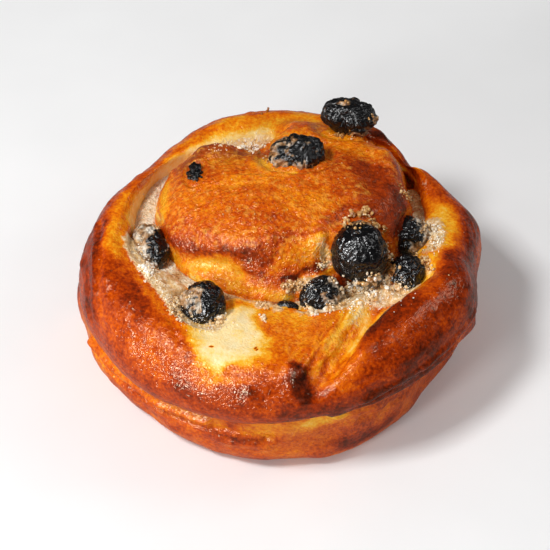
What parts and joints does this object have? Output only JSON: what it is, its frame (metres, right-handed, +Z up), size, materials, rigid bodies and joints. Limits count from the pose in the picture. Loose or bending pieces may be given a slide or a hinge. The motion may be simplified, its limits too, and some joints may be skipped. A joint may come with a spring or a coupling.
{
  "type": "raisin swirl bun",
  "caption": "Round baked swirl bun: a puffed outer turn of dough over a lower turn, a wound heart in a groove of sugary filling, and raisins.",
  "frame": {"origin": "middle of the flat underside, on the surface that the bun rests on", "axes": "+Z up through the top of the bun, -Y towards the front, +X to the right seen from the front"},
  "size_m": [0.097, 0.0955, 0.0467],
  "materials": {
    "crust": "glossy egg-washed baked dough, red-brown where it browned most and yellow to cream where it was covered",
    "sugar_filling": "moist, grainy, pale",
    "raisin_skin": "wrinkled, satin, nearly black",
    "sugar_grains": "small clear to tan sugar grains and crumbs"
  },
  "bodies": {
    "root": {"dough": "crust", "filling": "sugar_filling", "raisin_back_rim": "raisin_skin", "raisin_top": "raisin_skin", "raisin_front_large": "raisin_skin", "raisin_right_upper": "raisin_skin", "raisin_right_lower": "raisin_skin", "raisin_front_small": "raisin_skin", "raisin_front_left": "raisin_skin", "raisin_left": "raisin_skin", "raisin_chip": "raisin_skin", "raisin_sliver": "raisin_skin"}
  },
  "joints": []
}
